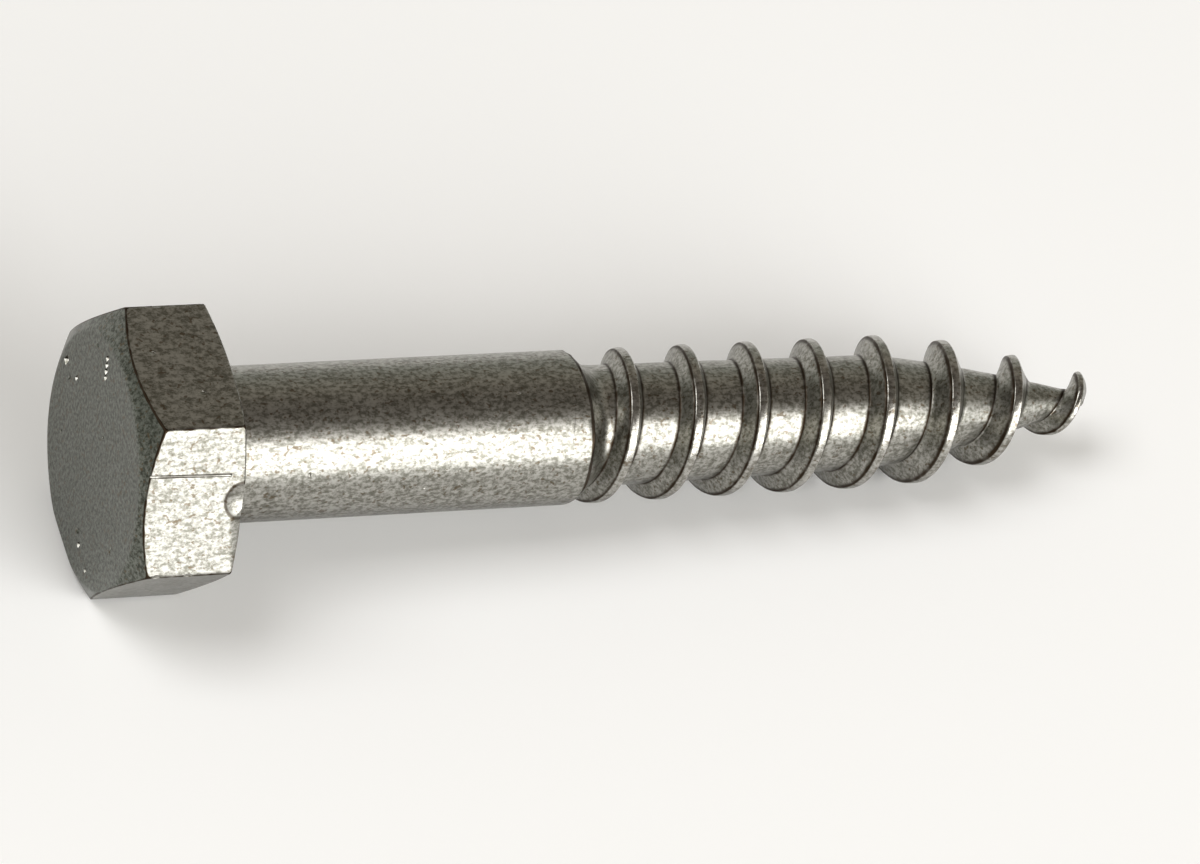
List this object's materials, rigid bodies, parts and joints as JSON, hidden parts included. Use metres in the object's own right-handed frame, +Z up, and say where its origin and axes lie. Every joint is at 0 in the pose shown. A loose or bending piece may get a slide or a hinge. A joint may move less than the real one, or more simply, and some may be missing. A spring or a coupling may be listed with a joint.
{
  "type": "lag screw",
  "caption": "Hexagon-head lag screw: a plain shank under a flat-topped hexagon, and a coarse wood thread that runs out to a gimlet point, lying on its side.",
  "frame": {"origin": "middle of the head's bearing face, on the axis of the shank, where the screw meets the surface that it clamps", "axes": "+Z up as the screw lies at rest on one flat of its head and one turn of its thread; the tip points along +X and 4.0 degrees down, and +Y is level, across the screw"},
  "size_m": [0.0699, 0.0197, 0.0174],
  "materials": {
    "stainless_steel": "plain stainless steel, cold-headed and rolled, dull and finely pitted"
  },
  "bodies": {
    "root": {"lag_screw": "stainless_steel"}
  },
  "joints": []
}
